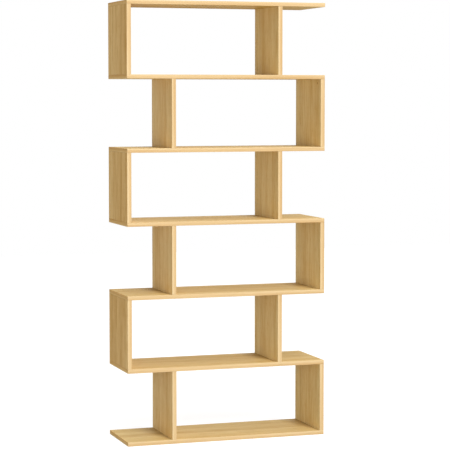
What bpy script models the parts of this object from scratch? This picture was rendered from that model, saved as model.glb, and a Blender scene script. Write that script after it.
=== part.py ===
"""Open bookcase of veneered board, with full-width shelves and two uprights in each tier.

The uprights alternate. In the odd tiers, counted from the top, the left one stands at the shelves' ends
and the right one is set in, and in the even tiers it is the other way round, so that each tier has a
closed middle bay and a side bay that is open at the end.

Each upright butts against the shelf below and the shelf above. At each of its ends two glued dowels
stand out into the shelf, and between them a cam fitting pulls the boards together: its bolt is screwed
into the shelf's face, runs up a bore in the upright's end and is gripped by a cam nut in a blind pocket
in the upright's right-hand side.

X runs along the width, the front faces -Y and Z is up. The origin is the middle of the footprint, on
the floor. All sizes are in metres.
"""
import math

import bmesh
import bpy
from mathutils import Matrix, Vector

# Boards
width = 0.920
depth = 0.315
shelf_thickness = 0.018
upright_thickness = 0.019
tier_count = 6
tier_opening = 0.304            # clear height between two shelves
inner_setback = 0.203           # from a shelf's end to the outer side of the upright that is set in
arris = 0.0006                  # eased edge of a board

# Gaps
joint_gap = 0.0003              # between faces that touch, and round what sits in a hole
hole_end_room = 0.001           # air behind a bolt or a dowel in its blind hole

# Cam nuts
cam_diameter = 0.015            # of the pocket in the upright
cam_pocket_depth = 0.014
cam_end_distance = 0.034        # from the shelf's face to the cam nut's axis
cam_hook_bite = 0.0001          # how far the tightened hook presses into the bolt's head
drive_slot_length = 0.0095
drive_slot_width = 0.0018
drive_slot_depth = 0.003

# Bolts
bolt_thread_diameter = 0.005
bolt_thread_length = 0.011
bolt_shank_diameter = 0.007
bolt_neck_diameter = 0.004
bolt_neck_lead = 0.001          # stretch of neck between the shank and the cam nut
bolt_head_diameter = 0.0065
bolt_head_length = 0.0055
bolt_bore_diameter = 0.008

# Dowels
dowel_diameter = 0.008
dowel_reach = 0.010             # how far a dowel stands out of the upright's end
dowel_chamfer = 0.0008
dowel_row_inset = 0.050         # from the front or back edge to the dowel's axis

# Sides of the round shapes
cam_sides = 12
bolt_sides = 8
dowel_sides = 8

# Derived sizes
tier_pitch = shelf_thickness + tier_opening
upright_height = tier_opening - 2 * joint_gap
outer_place = width / 2 - upright_thickness / 2
inner_place = outer_place - inner_setback
dowel_row = depth / 2 - dowel_row_inset
cam_radius = cam_diameter / 2 - joint_gap
cutter_overrun = 0.002
merge_distance = 0.00001
smooth_angle = math.radians(50)  # facets that meet at less than this are shaded as one round surface


def linear(colour_hex):
    """Linear colour of an sRGB hex value, with alpha."""
    channels = [int(colour_hex[i:i + 2], 16) / 255 for i in (0, 2, 4)]
    return [c / 12.92 if c <= 0.04045 else ((c + 0.055) / 1.055) ** 2.4 for c in channels] + [1.0]


def make_material(name, colour_hex, roughness, metallic):
    """Plain material with one Principled BSDF."""
    material = bpy.data.materials.new(name)
    material.use_nodes = True
    shader = material.node_tree.nodes["Principled BSDF"]
    shader.inputs["Base Color"].default_value = linear(colour_hex)
    shader.inputs["Roughness"].default_value = roughness
    shader.inputs["Metallic"].default_value = metallic
    material.diffuse_color = linear(colour_hex)
    return material


def make_collection(name):
    """New collection in the scene."""
    collection = bpy.data.collections.new(name)
    bpy.context.scene.collection.children.link(collection)
    return collection


def make_object(name, mesh, collection, parent=None, location=(0, 0, 0)):
    """New object of a mesh."""
    made = bpy.data.objects.new(name, mesh)
    made.parent = parent
    made.location = location
    collection.objects.link(made)
    return made


def finished_mesh(made):
    """Mesh of an object with its modifiers applied; the object itself is removed."""
    graph = bpy.context.evaluated_depsgraph_get()
    mesh = bpy.data.meshes.new_from_object(made.evaluated_get(graph))
    bpy.data.objects.remove(made)
    return mesh


def turned_mesh(name, profile, sides, collection):
    """Turned shape about Z. The profile lists radius and height from the top down its outer side."""
    mesh = bpy.data.meshes.new(name)
    bm = bmesh.new()
    points = [bm.verts.new((radius, 0, height)) for radius, height in profile]
    for upper, lower in zip(points, points[1:]):
        bm.edges.new((upper, lower))
    bm.to_mesh(mesh)
    bm.free()
    made = make_object(name, mesh, collection)
    screw = made.modifiers.new("turn", "SCREW")
    screw.axis = "Z"
    screw.steps = sides
    screw.render_steps = sides
    screw.use_merge_vertices = True
    screw.merge_threshold = merge_distance
    turned = finished_mesh(made)
    bm = bmesh.new()
    bm.from_mesh(turned)
    bmesh.ops.dissolve_limit(bm, angle_limit=math.radians(0.1), verts=bm.verts, edges=bm.edges)
    bm.to_mesh(turned)
    bm.free()
    return turned


def cylinder_mesh(name, radius, low, high, sides, collection):
    """Cylinder about Z from one height to another."""
    return turned_mesh(name, [(0, high), (radius, high), (radius, low), (0, low)], sides, collection)


def box_mesh(name, low, high):
    """Box between two corners."""
    low, high = Vector(low), Vector(high)
    bm = bmesh.new()
    size = Matrix.Diagonal((*(high - low), 1))
    bmesh.ops.create_cube(bm, size=1, matrix=Matrix.Translation((low + high) / 2) @ size)
    mesh = bpy.data.meshes.new(name)
    bm.to_mesh(mesh)
    bm.free()
    return mesh


def gathered_mesh(name, placed):
    """One mesh of several separate bodies, from pairs of a mesh and the matrix that places it."""
    bm = bmesh.new()
    for mesh, matrix in placed:
        first = len(bm.verts)
        bm.from_mesh(mesh)
        bm.verts.ensure_lookup_table()
        bmesh.ops.transform(bm, matrix=matrix, verts=bm.verts[first:])
    gathered = bpy.data.meshes.new(name)
    bm.to_mesh(gathered)
    bm.free()
    return gathered


def combine(target, operation, name, mesh, collection):
    """Cuts a mesh, placed in the target's own frame, out of the target, or joins it on."""
    tool = make_object(name, mesh, collection, parent=target)
    tool.hide_render = True
    tool.display_type = "WIRE"
    boolean = target.modifiers.new(name, "BOOLEAN")
    boolean.operation = operation
    boolean.solver = "EXACT"
    boolean.object = tool
    return tool


def combined_mesh(name, mesh, steps, collection):
    """Mesh after a list of Boolean steps, each an operation and the mesh that it takes."""
    made = make_object(name, mesh, collection)
    tools = [combine(made, operation, tool.name, tool, collection) for operation, tool in steps]
    result = finished_mesh(made)
    for tool in tools:
        bpy.data.objects.remove(tool)
    result.shade_smooth()
    result.set_sharp_from_angle(angle=smooth_angle)
    return result


def board_mesh(name, size, eased_directions):
    """Board round the origin, with its edges eased that run along the directions listed."""
    half = Vector(size) / 2
    mesh = box_mesh(name, -half, half)
    bm = bmesh.new()
    bm.from_mesh(mesh)
    eased = []
    for edge in bm.edges:
        along = (edge.verts[0].co - edge.verts[1].co).normalized()
        if any(abs(along[axis]) > 0.5 for axis in eased_directions):
            eased.append(edge)
    bmesh.ops.bevel(bm, geom=eased, offset=arris, segments=1, affect="EDGES", clamp_overlap=True)
    bm.to_mesh(mesh)
    bm.free()
    return mesh


def upright_places(tier):
    """Name and middle along X of the two uprights of a tier."""
    if tier % 2:
        return [("outer_left", -outer_place), ("inner_right", inner_place)]
    return [("inner_left", -inner_place), ("outer_right", outer_place)]


def shelf_level(number):
    """Height of a shelf's middle above the floor; the top shelf is number 1."""
    return (tier_count + 1 - number) * tier_pitch + shelf_thickness / 2


def shelf_name(number):
    """Name of a shelf."""
    if number == 1:
        return "top_shelf"
    return "base_shelf" if number == tier_count + 1 else f"shelf_{number}"


def from_below(x, y, z):
    """Places what a shelf below holds, whose own Z runs from the shelf into the upright."""
    return Matrix.Translation((x, y, z))


def from_above(x, y, z):
    """Places what a shelf above holds, whose own Z runs from the shelf into the upright."""
    return Matrix.Translation((x, y, z)) @ Matrix.Rotation(math.pi, 4, "X")


def cam_turn():
    """Turns a cam nut, made about its own Z with its bolt on the -Y side, to face +X with the bolt below."""
    return Matrix(((0, 0, 1, 0), (1, 0, 0, 0), (0, 1, 0, 0), (0, 0, 0, 1)))


def bolt_turn():
    """Puts a bolt, modelled about Z up from the shelf's face, into the cam nut's own frame."""
    return Matrix.Translation((0, -cam_end_distance, 0)) @ Matrix.Rotation(-math.pi / 2, 4, "X")


def bolt_mesh(work):
    """Cam bolt about Z: thread below the shelf's face at 0, then a shank, a neck and a head in the nut."""
    thread = bolt_thread_diameter / 2
    shank = bolt_shank_diameter / 2
    neck = bolt_neck_diameter / 2
    head = bolt_head_diameter / 2
    head_top = cam_end_distance + bolt_head_length / 2
    head_bottom = cam_end_distance - bolt_head_length / 2
    shank_top = cam_end_distance - cam_radius - bolt_neck_lead
    profile = [
        (0, head_top),
        (head, head_top),
        (head, head_bottom),
        (neck, head_bottom),
        (neck, shank_top),
        (shank, shank_top),
        (shank, joint_gap),
        (thread, joint_gap),
        (thread, -bolt_thread_length),
        (0, -bolt_thread_length),
    ]
    return turned_mesh("bolt", profile, bolt_sides, work)


def fitting_mesh(work):
    """Tightened cam fitting in the cam nut's frame: about Z, with the bolt's axis in the XY plane.

    The nut is a round body with a mouth on one side, where the bolt's head went in, a narrow slot in
    which the bolt's neck leaves through the hook, and a cross slot to turn it by. The hook bears on the
    bolt's head.
    """
    outer_face = upright_thickness / 2 - joint_gap
    inner_face = upright_thickness / 2 - cam_pocket_depth + joint_gap
    head_room = bolt_head_diameter / 2 + joint_gap
    head_back = bolt_head_length / 2 + joint_gap
    hook_face = bolt_head_length / 2 - cam_hook_bite
    neck_room = bolt_neck_diameter / 2 + joint_gap
    beyond = cam_radius + cutter_overrun
    slot_floor = outer_face - drive_slot_depth
    slot_mouth = outer_face + cutter_overrun
    long, short = drive_slot_length / 2, drive_slot_width / 2
    body = cylinder_mesh("cam_body", cam_radius, inner_face, outer_face, cam_sides, work)
    bolt = bolt_mesh(work)
    bolt.transform(bolt_turn())
    mouth = box_mesh("mouth", (-head_room, -hook_face, -head_room), (beyond, head_back, head_room))
    neck_slot = box_mesh("neck_slot", (-neck_room, -beyond, -neck_room), (neck_room, 0, neck_room))
    drive_slot = box_mesh("drive_slot", (-long, -short, slot_floor), (long, short, slot_mouth))
    cross_slot = box_mesh("cross_slot", (-short, -long, slot_floor), (short, long, slot_mouth))
    steps = [("DIFFERENCE", cutter) for cutter in (mouth, neck_slot, drive_slot, cross_slot)]
    steps.append(("UNION", bolt))
    return combined_mesh("cam_fitting", body, steps, work)


def upright_mesh(work):
    """Upright round its middle: cam pockets, the bolt bores that lead into them, and the dowels."""
    size = (upright_thickness, depth, upright_height)
    pocket_floor = upright_thickness / 2 - cam_pocket_depth
    pocket_mouth = upright_thickness / 2 + cutter_overrun
    dowel_tip = dowel_diameter / 2 - dowel_chamfer
    board = board_mesh("board", size, eased_directions=(2,))
    pocket = cylinder_mesh("pocket", cam_diameter / 2, pocket_floor, pocket_mouth, cam_sides, work)
    bore_radius = bolt_bore_diameter / 2
    bore = cylinder_mesh("bore", bore_radius, -cutter_overrun, cam_end_distance, bolt_sides, work)
    dowel = turned_mesh(
        "dowel",
        [
            (0, joint_gap + cutter_overrun),
            (dowel_diameter / 2, joint_gap + cutter_overrun),
            (dowel_diameter / 2, dowel_chamfer - dowel_reach),
            (dowel_tip, -dowel_reach),
            (0, -dowel_reach),
        ],
        dowel_sides,
        work,
    )
    pockets, bores, dowels = [], [], []
    for place, face in ((from_below, -1), (from_above, 1)):
        shelf_face = face * tier_opening / 2
        pockets.append((pocket, place(0, 0, shelf_face - face * cam_end_distance) @ cam_turn()))
        bores.append((bore, place(0, 0, shelf_face)))
        dowels += [(dowel, place(0, y, shelf_face)) for y in (-dowel_row, dowel_row)]
    steps = [
        ("DIFFERENCE", gathered_mesh("pockets", pockets)),
        ("DIFFERENCE", gathered_mesh("bores", bores)),
        ("UNION", gathered_mesh("dowels", dowels)),
    ]
    return combined_mesh("upright", board, steps, work)


def shelf_holes(number, pilot, peg_hole):
    """Blind holes in a shelf for the bolts and dowels of the uprights that stand on it and under it."""
    placed = []
    for tier, place, face in ((number - 1, from_below, 1), (number, from_above, -1)):
        if not 1 <= tier <= tier_count:
            continue
        for _, x in upright_places(tier):
            z = face * shelf_thickness / 2
            placed.append((pilot, place(x, 0, z)))
            placed += [(peg_hole, place(x, y, z)) for y in (-dowel_row, dowel_row)]
    return gathered_mesh(shelf_name(number) + "_holes", placed)


def make_shelves(parts, cutters, material):
    """The shelves, each with the holes for its uprights."""
    pilot_radius = bolt_thread_diameter / 2 + joint_gap
    pilot_depth = bolt_thread_length + hole_end_room
    peg_radius = dowel_diameter / 2 + joint_gap
    peg_depth = dowel_reach + hole_end_room
    pilot = cylinder_mesh("pilot", pilot_radius, -pilot_depth, cutter_overrun, bolt_sides, cutters)
    peg_hole = cylinder_mesh("peg_hole", peg_radius, -peg_depth, cutter_overrun, dowel_sides, cutters)
    for number in range(1, tier_count + 2):
        name = shelf_name(number)
        mesh = board_mesh(name, (width, depth, shelf_thickness), eased_directions=(0, 1, 2))
        mesh.materials.append(material)
        shelf = make_object(name, mesh, parts, location=(0, 0, shelf_level(number)))
        holes = shelf_holes(number, pilot, peg_hole)
        combine(shelf, "DIFFERENCE", holes.name, holes, cutters)


def make_tiers(parts, cutters, board_material, metal):
    """The uprights of every tier with the cam fittings at their ends."""
    upright = upright_mesh(cutters)
    upright.materials.append(board_material)
    fitting = fitting_mesh(cutters)
    fitting.materials.append(metal)
    for tier in range(1, tier_count + 1):
        middle = (shelf_level(tier) + shelf_level(tier + 1)) / 2
        for side, x in upright_places(tier):
            made = make_object(f"upright_{tier}_{side}", upright, parts, location=(x, 0, middle))
            for end, place, face in (("upper", from_above, 1), ("lower", from_below, -1)):
                z = face * (tier_opening / 2 - cam_end_distance)
                piece = make_object(f"cam_fitting_{tier}_{side}_{end}", fitting, parts, parent=made)
                piece.matrix_local = place(0, 0, z) @ cam_turn()


def main():
    """Builds the whole bookcase."""
    for old in list(bpy.data.objects):
        bpy.data.objects.remove(old)
    parts = make_collection("bookcase")
    cutters = make_collection("cutters")
    make_shelves(parts, cutters, make_material("oak_shelf", "D8B98A", 0.5, 0.0))
    upright_oak = make_material("oak_upright", "D4B384", 0.5, 0.0)
    make_tiers(parts, cutters, upright_oak, make_material("zinc", "B4B6B8", 0.35, 1.0))


main()
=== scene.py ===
"""Finished boards, fittings and studio of an open bookcase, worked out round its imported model.

The bookcase has seven full-width shelves and two uprights in each of its six tiers. Its boards are
particle board with oak veneer on the faces and oak bands on the edges. Two dowels and a cam nut, which
grips a bolt in the shelf, hold each end of an upright.

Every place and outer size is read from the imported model. X runs along the width, the front faces -Y and
Z is up, in metres. A UV map named grain holds metres along and across the grain, and the wood reads it.
"""
import math
from functools import partial

import bmesh
import bpy
import numpy as np
from bpy.props import FloatProperty, FloatVectorProperty, IntProperty, PointerProperty
from bpy.types import Operator, Panel, PropertyGroup
from mathutils import Matrix, Vector


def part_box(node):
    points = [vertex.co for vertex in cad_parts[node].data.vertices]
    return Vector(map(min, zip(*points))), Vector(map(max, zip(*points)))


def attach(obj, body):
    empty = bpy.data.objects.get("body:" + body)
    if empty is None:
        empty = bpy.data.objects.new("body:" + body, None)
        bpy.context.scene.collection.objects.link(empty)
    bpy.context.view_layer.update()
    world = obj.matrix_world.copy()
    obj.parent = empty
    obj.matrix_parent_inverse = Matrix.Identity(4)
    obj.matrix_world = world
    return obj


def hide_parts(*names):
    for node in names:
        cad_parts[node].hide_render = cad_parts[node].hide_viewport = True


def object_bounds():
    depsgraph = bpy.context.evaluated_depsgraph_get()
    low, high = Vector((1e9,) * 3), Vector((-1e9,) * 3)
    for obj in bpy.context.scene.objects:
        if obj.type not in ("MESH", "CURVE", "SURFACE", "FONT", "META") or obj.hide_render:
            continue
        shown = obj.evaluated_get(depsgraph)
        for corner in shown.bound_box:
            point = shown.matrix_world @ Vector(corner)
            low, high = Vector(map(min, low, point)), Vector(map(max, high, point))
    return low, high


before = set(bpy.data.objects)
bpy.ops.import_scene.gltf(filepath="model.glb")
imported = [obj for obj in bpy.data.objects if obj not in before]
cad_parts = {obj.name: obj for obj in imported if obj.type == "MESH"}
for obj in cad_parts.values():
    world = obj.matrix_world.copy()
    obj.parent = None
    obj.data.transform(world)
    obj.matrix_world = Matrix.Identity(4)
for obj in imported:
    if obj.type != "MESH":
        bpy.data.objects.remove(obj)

bl_info = {
    "name": "Oak bookcase",
    "version": (1, 0, 0),
    "blender": (4, 5, 0),
    "location": "3D View > Sidebar > Bookcase",
    "description": "Makes the finished boards, fittings and studio of an open bookcase",
    "category": "Object",
}

cad_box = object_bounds()
node_boxes = {node: [np.array(corner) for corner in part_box(node)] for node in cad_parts}

BODY = "root"
GRAIN_MAP = "grain"
VENEER, PARTICLES, UNDERSIDE = 0, 1, 2   # a board's materials by their numbers
MERGE_DISTANCE = 0.000001       # points nearer than this are one point
SHARP_FROM = math.radians(35)   # faces that meet at more than this angle are shaded with an edge
CUTTER_OVERRUN = 0.002          # how far a cutter stands out of what it cuts
JOINT_GAP = 0.0003              # between an upright's end and the shelf, and round what sits in a hole
HOLE_SPARE = 0.001              # how much deeper a blind hole is than the peg or thread in it
HEAD_REACH = 0.00275            # from the cam nut's axis to the shoulder of the bolt's head, which it grips
CORNER_POINTS = 5               # points on a rounded corner
ROUND_POINTS = 49               # points round a turned form, the last one on the first
GRAIN_SPREAD = 30.0             # each board's grain starts at random places within this many metres
PIN_KNOT = (0.441, -0.115, 1.592)   # a place on the upright at the right of the second tier

# Seeds of each board's cut of veneer and of its bands' cut, for tones like those of the real boards
CUTS = {
    "top_shelf": (112, 105),
    "shelf_2": (101, 108),
    "shelf_3": (101, 111),
    "shelf_4": (109, 124),
    "shelf_5": (124, 109),
    "shelf_6": (105, 116),
    "base_shelf": (108, 112),
    "upright_1_outer_left": (102, 120),
    "upright_1_inner_right": (117, 113),
    "upright_2_inner_left": (101, 119),
    "upright_2_outer_right": (105, 124),
    "upright_3_outer_left": (112, 106),
    "upright_3_inner_right": (116, 115),
    "upright_4_inner_left": (119, 101),
    "upright_4_outer_right": (105, 120),
    "upright_5_outer_left": (109, 103),
    "upright_5_inner_right": (120, 104),
    "upright_6_inner_left": (121, 108),
    "upright_6_outer_right": (113, 120),
}

# Noises of the oak veneer's figure: length and width of a spot, detail and roughness. Pores are 0.3 mm
# wide and 5 mm long, but are drawn larger, as are the flecks, to show in a picture
FIGURE = {
    "wander": (0.400, 0.110, 2, 0.5),
    "bands": (1.200, 0.055, 1.5, 0.5),
    "streaks": (0.500, 0.009, 3, 0.6),
    "patches": (0.110, 0.012, 2, 0.55),
    "flecks": (0.040, 0.0035, 4, 0.6),
    "pores": (0.024, 0.0014, 1, 0.4),
}

# Lamps: width and height, degrees round from the front to the right, degrees up, and distance
LAMPS = {
    "key": ((7.5, 7.5), 12.5, 36, 25.0),
    "fill": ((3.0, 1.8), -38, 1, 5.0),
    "top": ((6.0, 6.0), 0, 75, 10.0),
    "back": ((7.5, 4.5), 148, 6, 25.0),
}
FLOOR_REACH = 9.0               # from the middle of the floor to its sides
SENSOR_WIDTH = 36.0             # of the camera, in millimetres


def linear(colour_hex):
    """Linear colour, with alpha, of an sRGB hex value."""
    channels = [int(colour_hex[i:i + 2], 16) / 255 for i in (0, 2, 4)]
    return [c / 12.92 if c <= 0.04045 else ((c + 0.055) / 1.055) ** 2.4 for c in channels] + [1.0]


def tint(name, description, colour_hex):
    """Setting that holds a colour, given as an sRGB hex value."""
    return FloatVectorProperty(name=name, description=description, default=linear(colour_hex),
                               size=4, min=0, max=1, subtype="COLOR")


def metres(name, description, default, least, most):
    """Setting that holds a length in metres."""
    return FloatProperty(name=name, description=description, default=default, min=least, max=most,
                         precision=4, unit="LENGTH")


def watts(name, description, default):
    """Setting that holds a lamp's power in watts."""
    return FloatProperty(name=name, description=description, default=default, min=0, unit="POWER")


class BoardSettings(PropertyGroup):
    """Sizes of the edge bands on the boards."""

    band_thickness: metres("Band thickness", "Thickness of the oak band on an edge", 0.001, 0.0004, 0.003)
    arris_radius: metres("Arris radius", "Radius that the edges are sanded to", 0.0006, 0.0001, 0.0009)


class OakSettings(PropertyGroup):
    """Colours and figure of the oak. Late wood is dense and pale, and early wood is open-pored."""

    shelf_light: tint("Shelves, late wood", "Late wood of the shelves' veneer", "D4BB82")
    shelf_dark: tint("Shelves, early wood", "Early wood of the shelves' veneer", "B79356")
    # Painted light: the undersides' veneer is a paler, warmer copy of the shelves', which makes up for the
    # shade beneath the shelves
    under_light: tint("Undersides, late wood", "Late wood of the browner undersides", "EACC77")
    under_dark: tint("Undersides, early wood", "Early wood of the browner undersides", "C9A14F")
    # Painted light: the uprights' veneer is a paler copy of the shelves', which makes up for the shade on the
    # uprights' sides
    upright_light: tint("Uprights, late wood", "Late wood of the uprights' veneer", "F5DFA3")
    upright_dark: tint("Uprights, early wood", "Early wood of the uprights' veneer", "D5AF66")
    # Painted light: warmer copies of the uprights' veneer for those at the left end and the inner ones on the
    # left, in place of warmer light on their faces
    left_light: tint("Left end, late wood", "Late wood of the browner uprights at the left end", "F9D187")
    left_dark: tint("Left end, early wood", "Early wood of the browner uprights at the left end", "CC953D")
    inner_left_light: tint("Inner left, late wood", "Late wood of the inner uprights on the left", "FBDC9B")
    inner_left_dark: tint("Inner left, early wood", "Early wood of the inner uprights on the left", "DAAC61")
    band_light: tint("Band, light", "Lightest streaks of the bands on front and back edges", "DBC092")
    band_dark: tint("Band, dark", "Darkest streaks of the bands on front and back edges", "C8A471")
    # Painted light: the end bands are a paler, warmer copy of the front and back bands, which makes up for
    # the shade on the shelves' ends
    end_light: tint("End band, light", "Lightest streaks of the bands on the shelves' ends", "F5CC82")
    end_dark: tint("End band, dark", "Darkest streaks of the bands on the shelves' ends", "DCA95C")
    leaf_width: metres("Leaf width", "Width of one leaf of veneer", 0.150, 0.05, 0.4)
    ring_spacing: metres("Ring spacing", "Distance between two growth rings", 0.008, 0.002, 0.03)


class FittingSettings(PropertyGroup):
    """Sizes of the cam nuts, bolts and dowels."""

    recess_length: metres("Recess length", "Length of the cross recess in a cam nut", 0.0088, 0.004, 0.012)
    recess_width: metres("Recess width", "Width of an arm of the cross recess", 0.0018, 0.001, 0.003)
    recess_depth: metres("Recess depth", "Depth of the cross recess", 0.003, 0.001, 0.005)
    cam_pocket: metres("Pocket diameter", "Diameter of a cam nut's pocket", 0.015, 0.0146, 0.017)
    bolt_thread: metres("Thread diameter", "Outer diameter of a bolt's thread", 0.005, 0.003, 0.0065)
    bolt_pitch: metres("Thread pitch", "Distance between two turns of the thread", 0.0022, 0.001, 0.004)
    bolt_shank: metres("Shank diameter", "Diameter of a bolt above its thread", 0.007, 0.004, 0.0075)
    bolt_neck: metres("Neck diameter", "Diameter of a bolt below its head", 0.004, 0.002, 0.0045)
    bolt_head: metres("Head diameter", "Diameter of a bolt's head", 0.0065, 0.005, 0.007)
    bolt_bore: metres("Bore diameter", "Bore that a bolt runs up in the upright", 0.008, 0.0075, 0.010)
    dowel_diameter: metres("Dowel diameter", "Diameter of a dowel over its ribs", 0.008, 0.006, 0.010)
    dowel_length: metres("Dowel length", "Whole length of a dowel", 0.030, 0.025, 0.040)
    dowel_inset: metres("Dowel inset", "From a front or back edge to a dowel's axis", 0.050, 0.030, 0.100)
    dowel_flutes: IntProperty(
        name="Dowel flutes", description="Number of glue flutes round a dowel", default=14, min=6, max=30)


class StudioSettings(PropertyGroup):
    """Camera, lamps, room and floor."""

    lens: FloatProperty(
        name="Lens", description="Focal length on a square sensor 36 mm wide",
        default=141.1, min=20, max=400, unit="CAMERA")
    camera_place: FloatVectorProperty(
        name="Camera place", description="Where the camera stands",
        default=(-2.4788, -7.5450, 1.5340), size=3, precision=4, subtype="TRANSLATION")
    camera_down: FloatProperty(
        name="Camera tilt", description="How far the camera looks down",
        default=math.radians(3.7), subtype="ANGLE")
    camera_turn: FloatProperty(
        name="Camera turn", description="How far the camera looks to the right of straight back",
        default=math.radians(18.4603), subtype="ANGLE")
    camera_shift: FloatProperty(
        name="Camera shift", description="How far the picture is shifted up, as a share of its width",
        default=-0.03303, min=-0.1, max=0.1, subtype="FACTOR")
    key_power: watts("Key lamp", "Power of the lamp in front on the right", 5930.0)
    fill_power: watts("Fill lamp", "Power of the low, wide lamp in front on the left", 46.0)
    top_power: watts("Top lamp", "Power of the wide lamp overhead", 415.0)
    back_power: watts("Back lamp", "Power of the low, wide lamp behind on the right", 1800.0)
    surround: FloatProperty(
        name="Surround", description="Brightness of the white room round the bookcase",
        default=0.325, min=0, max=1)
    floor_dark: tint("Floor, darker", "Colour of the floor's darker clouds", "9A9997")
    floor_light: tint("Floor, lighter", "Colour of the floor's lighter clouds", "9D9C9A")
    floor_glow: FloatProperty(
        name="Floor glow", description="How much the floor glows to the camera, to meet the white room",
        default=0.85, min=0, max=1)


def patch(points, grain, material=0):
    """Grid of points, rows by columns by 3, with its grain coordinates and its material's number.

    The faces look along the rows' direction times the columns' direction, as a cross product.
    """
    return {"points": points, "grain": grain, "material": material}


def surface_mesh(name, patches, materials, sharp_from=SHARP_FROM):
    """Mesh of one open patch, or of patches that close into one or more bodies.

    Points that lie together are merged, which closes seams and poles: a quad with two corners on one
    point becomes a triangle, and one with fewer than three points left is dropped. If the volume that
    the faces enclose is negative, all of them are turned round to point out.
    """
    points, quads, grain, numbers, first = [], [], [], [], 0
    for part in patches:
        rows, columns = part["points"].shape[:2]
        index = first + np.arange(rows * columns).reshape(rows, columns)
        corners = np.stack([index[:-1, :-1], index[1:, :-1], index[1:, 1:], index[:-1, 1:]], axis=-1)
        quads.append(corners.reshape(-1, 4))
        points.append(part["points"].reshape(-1, 3))
        grain.append(part["grain"].reshape(-1, 2))
        numbers.append(np.full(len(quads[-1]), part["material"]))
        first += rows * columns
    points, quads, grain, numbers = (np.concatenate(rows) for rows in (points, quads, grain, numbers))
    keys = np.round(points / MERGE_DISTANCE).astype(np.int64)
    _, kept, merged = np.unique(keys, axis=0, return_index=True, return_inverse=True)
    corners = merged.reshape(-1)[quads]
    a, b, c, d = (points[kept][corners[:, i]] for i in range(4))
    volume = np.einsum("ij,ij->", a, np.cross(b, c)) + np.einsum("ij,ij->", a, np.cross(c, d))
    if volume < 0:
        corners, quads = corners[:, ::-1], quads[:, ::-1]
    used = corners != np.roll(corners, -1, axis=1)
    whole = used.sum(axis=1) > 2
    corners, quads, used, numbers = corners[whole], quads[whole], used[whole], numbers[whole]
    starts = np.cumsum(used.sum(axis=1))[:-1]
    mesh = bpy.data.meshes.new(name)
    mesh.from_pydata(points[kept], [], np.split(corners[used], starts))
    layer = mesh.uv_layers.new(name=GRAIN_MAP)
    layer.data.foreach_set("uv", grain[quads[used]].astype(np.float32).ravel())
    mesh.polygons.foreach_set("material_index", numbers.astype(np.int32))
    for material in materials:
        mesh.materials.append(material)
    mesh.update()
    mesh.set_sharp_from_angle(angle=sharp_from)
    return mesh


def box_patches(low, high, grain_axis, starts, materials):
    """Six flat patches of a box. Each is a function of its two in-plane coordinates.

    The grain coordinates are those along the grain axis and across it, from the face's own start. The
    faces and their materials' numbers run from the left to the right, the front, the back, the underside
    and the top.
    """
    made = []
    for axis in range(3):
        along = grain_axis if axis != grain_axis else (axis + 1) % 3
        across = 3 - axis - along
        for side, place in enumerate((low[axis], high[axis])):
            rows, columns = (axis + 1) % 3, (axis + 2) % 3
            if side == 0:
                rows, columns = columns, rows
            points = np.empty((2, 2, 3))
            points[..., axis] = place
            points[..., rows] = np.array([[low[rows]], [high[rows]]])
            points[..., columns] = np.array([[low[columns], high[columns]]])
            grain = points[..., [along, across]] + starts[2 * axis + side]
            made.append(patch(points, grain, materials[2 * axis + side]))
    return made


def turned_patch(centre, along, radii, heights, start=(0.0, 0.0), material=0):
    """Closed turned form: radius as a function of the angle and the height, carried round an axis.

    Radii is one row for each angle and one column for each height, or one row that is turned round.
    The first and last radius are 0, so that the ends close in a pole.
    """
    centre, along = np.asarray(centre, float), np.asarray(along, float)
    side = np.roll(along, 1)
    up = np.cross(along, side)
    radii = np.atleast_2d(radii)
    angle = np.linspace(0, 2 * math.pi, len(radii) if len(radii) > 1 else ROUND_POINTS)[:, None]
    radii, angle, heights = np.broadcast_arrays(radii, angle, np.asarray(heights)[None, :])
    round_it = np.cos(angle)[..., None] * side + np.sin(angle)[..., None] * up
    points = centre + heights[..., None] * along + radii[..., None] * round_it
    points[-1] = points[0]
    grain = np.stack([heights, angle * radii.max()], axis=-1) + np.asarray(start)
    return patch(points, grain, material)


def arc_corner(centre, radius, first, last):
    """Points on an arc from one angle to another."""
    angle = np.linspace(first, last, CORNER_POINTS)
    return np.stack([centre[0] + radius * np.cos(angle), centre[1] + radius * np.sin(angle)], axis=-1)


def band_profile(thickness, width, radius):
    """Section of an edge band, out from the board's edge and across it, with its outer arrises rounded.

    The outline runs down the outer side and back along the glued one. A narrow flat beside each arris
    keeps the shading of the wide one even.
    """
    out, half = thickness - radius, width / 2 - radius
    flat = half - radius / 2
    return np.concatenate([
        [(0.0, width / 2)],
        arc_corner((out, half), radius, math.pi / 2, 0),
        [(thickness, flat), (thickness, -flat)],
        arc_corner((out, -half), radius, 0, -math.pi / 2),
        [(0.0, -width / 2), (0.0, width / 2)],
    ])


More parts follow.
